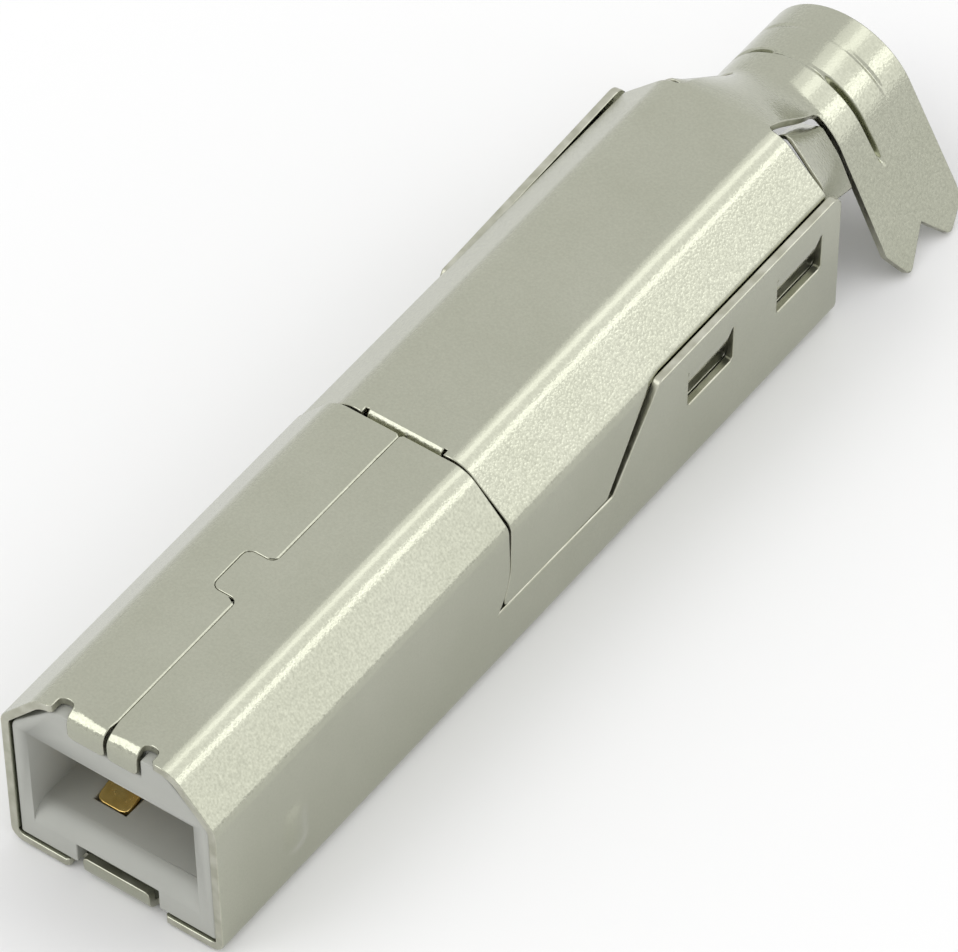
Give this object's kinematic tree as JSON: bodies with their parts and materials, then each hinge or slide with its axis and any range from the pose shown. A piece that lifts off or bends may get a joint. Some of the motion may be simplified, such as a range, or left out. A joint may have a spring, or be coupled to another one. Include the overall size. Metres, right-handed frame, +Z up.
{
  "type": "usb-b plug",
  "caption": "Square data plug for a cable end: folded nickel-plated shell, clip-on cover with an open crimp barrel, white insulator and gold spring contacts.",
  "frame": {"origin": "centre of the mating face, on the shell's front edge plane", "axes": "+X across the plug, +Y from the mating face to the cable end, +Z up to the chamfered side"},
  "size_m": [0.01, 0.0379, 0.0072],
  "materials": {
    "shell": "satin nickel plate",
    "insulator": "moulded white",
    "contact": "gold plate"
  },
  "bodies": {
    "root": {"base_shell": "shell", "top_cover": "shell", "insulator": "insulator", "contact_power_upper": "contact", "contact_power_lower": "contact", "contact_data_upper": "contact", "contact_data_lower": "contact"}
  },
  "joints": []
}
